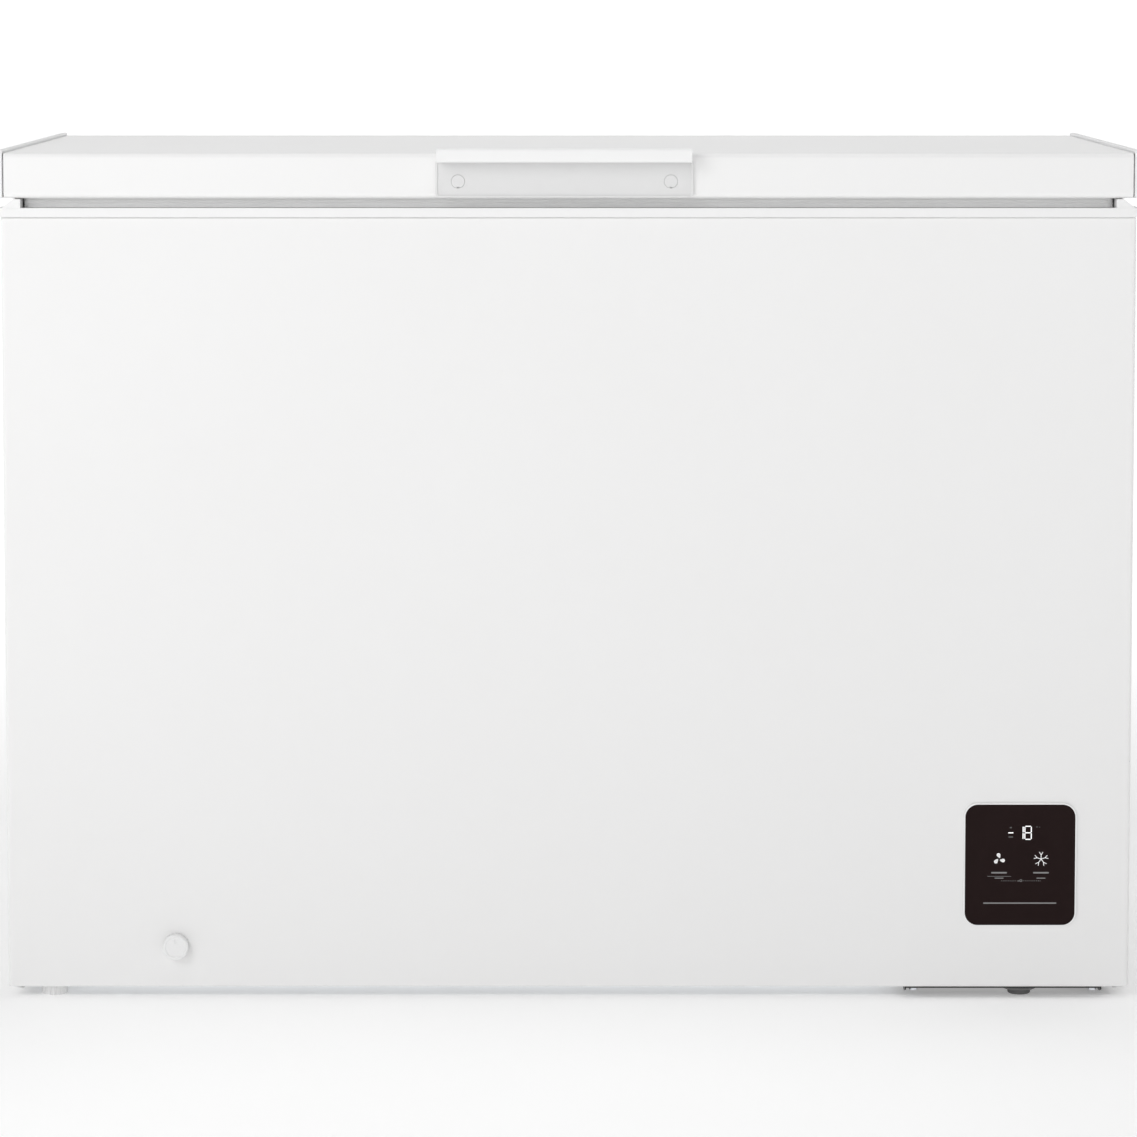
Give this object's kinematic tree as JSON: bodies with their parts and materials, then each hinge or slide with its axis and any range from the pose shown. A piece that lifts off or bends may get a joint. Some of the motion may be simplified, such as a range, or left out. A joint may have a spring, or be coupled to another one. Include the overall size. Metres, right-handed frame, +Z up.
{
  "type": "chest freezer",
  "caption": "Free-standing chest freezer with a rear-hinged insulated lid, a stepped insulated tub, a hanging wire basket, a front drain and a touch control panel.",
  "frame": {"origin": "floor level, at the middle of the overall width and depth", "axes": "+X to the right seen from the front, +Z up; the front with the handle faces -Y"},
  "size_m": [1.116, 0.664, 0.84],
  "materials": {
    "painted_steel": "semi-gloss white powder paint",
    "galvanised_steel": "dull galvanised sheet",
    "liner_sheet": "white-coated embossed aluminium",
    "foam": "rigid polyurethane foam",
    "frame_plastic": "moulded white plastic",
    "lid_paint": "semi-gloss white powder paint",
    "inner_plastic": "vacuum-formed white plastic",
    "gasket_vinyl": "soft light grey vinyl",
    "handle_plastic": "moulded white plastic",
    "handle_plate_plastic": "moulded light grey plastic",
    "bezel_plastic": "moulded light grey plastic",
    "black_glass": "back-painted brown-black glass",
    "circuit_board": "coated circuit board",
    "drain_plastic": "moulded white plastic",
    "copper": "drawn copper tube",
    "evaporator_aluminium": "drawn aluminium tube",
    "black_steel": "black baked enamel",
    "black_plastic": "moulded black plastic",
    "grommet_rubber": "moulded rubber",
    "zinc_steel": "zinc-plated pressed steel",
    "spring_steel": "bright spring steel",
    "plunger_nylon": "moulded nylon",
    "foot_white": "moulded white plastic",
    "foot_grey": "moulded dark grey plastic",
    "basket_wire": "white-coated wire"
  },
  "bodies": {
    "cabinet": {"cabinet_wrap": "painted_steel", "rear_panel": "galvanised_steel", "bottom_panel": "galvanised_steel", "bay_cover": "galvanised_steel", "inner_liner": "liner_sheet", "foam_insulation": "foam", "top_frame": "frame_plastic", "hinge_covers": "frame_plastic", "control_bezel": "bezel_plastic", "control_glass": "black_glass", "control_board": "circuit_board", "drain_tube": "drain_plastic", "drain_bush": "drain_plastic", "condenser_coil": "copper", "suction_pipe": "copper", "discharge_pipe": "copper", "filter_drier": "copper", "capillary_tube": "copper", "evaporator_coil": "evaporator_aluminium", "compressor": "black_steel", "base_plate": "black_steel", "relay_cover": "black_plastic", "cord_inlet": "black_plastic", "temperature_sensor": "black_plastic", "compressor_grommets": "grommet_rubber", "compressor_bolts": "zinc_steel", "base_plate_screws": "zinc_steel", "bay_cover_screws": "zinc_steel", "hinge_bases": "zinc_steel", "hinge_base_screws": "zinc_steel", "foot_inserts": "zinc_steel", "hinge_spring_left": "spring_steel", "hinge_spring_right": "spring_steel", "hinge_pins": "spring_steel", "rear_left_foot": "foot_white", "rear_right_foot": "foot_grey"},
    "lid": {"lid_skin": "lid_paint", "lid_end_cap_left": "frame_plastic", "lid_end_cap_right": "frame_plastic", "lid_foam": "foam", "lid_inner_panel": "inner_plastic", "lid_gasket": "gasket_vinyl", "handle_plate": "handle_plate_plastic", "handle_grip": "handle_plastic", "handle_screws": "zinc_steel", "handle_plugs": "handle_plate_plastic", "hinge_lid_brackets": "zinc_steel", "hinge_lid_screws": "zinc_steel"},
    "plunger_left": {"hinge_plunger_left": "plunger_nylon"},
    "plunger_right": {"hinge_plunger_right": "plunger_nylon"},
    "basket": {"basket_rim": "basket_wire", "basket_floor": "basket_wire", "basket_end_walls": "basket_wire", "basket_side_walls": "basket_wire"},
    "drain_spout": {"drain_spout": "drain_plastic"},
    "drain_dial": {"drain_dial": "drain_plastic"},
    "drain_plug": {"drain_plug": "drain_plastic"},
    "front_left_foot": {"front_left_foot": "foot_white"},
    "front_right_foot": {"front_right_foot": "foot_grey"}
  },
  "joints": [
    {"name": "lid_hinge", "type": "hinge", "parent": "cabinet", "child": "lid", "pos_m": [0, 0.316, 0.786], "axis": [-1, 0, 0], "range_deg": [0, 80]},
    {"name": "plunger_left_slide", "type": "slide", "parent": "cabinet", "child": "plunger_left", "axis": [0, 0, 1], "range_m": [0, 0.012], "deforming": ["hinge_spring_left"]},
    {"name": "plunger_right_slide", "type": "slide", "parent": "cabinet", "child": "plunger_right", "axis": [0, 0, 1], "range_m": [0, 0.012], "deforming": ["hinge_spring_right"]},
    {"name": "basket_slide", "type": "slide", "parent": "cabinet", "child": "basket", "axis": [1, 0, 0], "range_m": [0, 0.72]},
    {"name": "drain_pull", "type": "slide", "parent": "cabinet", "child": "drain_spout", "axis": [0, -1, 0], "range_m": [0, 0.025]},
    {"name": "drain_turn", "type": "hinge", "parent": "drain_spout", "child": "drain_dial", "pos_m": [-0.388, -0.308, 0.052], "axis": [0, -1, 0], "range_deg": [0, 180]},
    {"name": "drain_plug_lift", "type": "slide", "parent": "cabinet", "child": "drain_plug", "axis": [0, 0, 1], "range_m": [0, 0.06]},
    {"name": "front_left_foot_turn", "type": "hinge", "parent": "cabinet", "child": "front_left_foot", "pos_m": [-0.511, -0.285, 0], "axis": [0, 0, 1], "continuous": true},
    {"name": "front_right_foot_turn", "type": "hinge", "parent": "cabinet", "child": "front_right_foot", "pos_m": [0.448, -0.285, 0], "axis": [0, 0, 1], "continuous": true}
  ],
  "couplings": [
    {"joint": "plunger_left_slide", "follows": "lid_hinge", "m_per_rad": 0.008594},
    {"joint": "plunger_right_slide", "follows": "lid_hinge", "m_per_rad": 0.008594}
  ]
}
